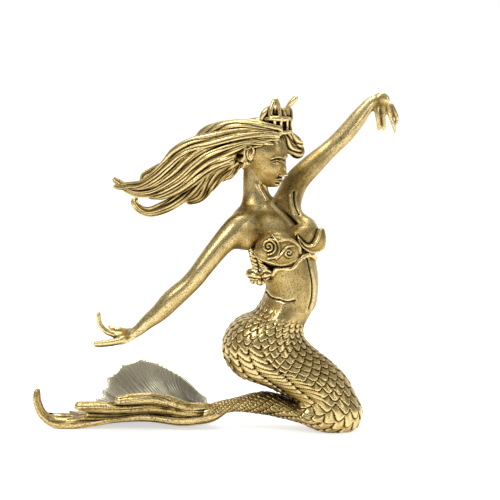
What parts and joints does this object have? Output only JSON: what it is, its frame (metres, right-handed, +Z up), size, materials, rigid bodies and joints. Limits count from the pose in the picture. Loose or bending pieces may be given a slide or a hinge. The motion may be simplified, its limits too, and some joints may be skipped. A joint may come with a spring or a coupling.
{
  "type": "mermaid figurine",
  "caption": "Small solid brass mermaid ornament: kneeling on a scaled tail, one arm raised and one swept back, with windblown hair, a crown and a fanned tail fin.",
  "frame": {"origin": "middle of the figurine's outline seen from above, at the surface that it rests on", "axes": "+X towards the raised hand, +Y away from the viewer, +Z up"},
  "size_m": [0.0639, 0.0264, 0.0579],
  "materials": {
    "brass": "antiqued cast brass: satin high spots, fine cast grain and dark patina in the carving"
  },
  "bodies": {
    "root": {"mermaid": "brass"}
  },
  "joints": []
}
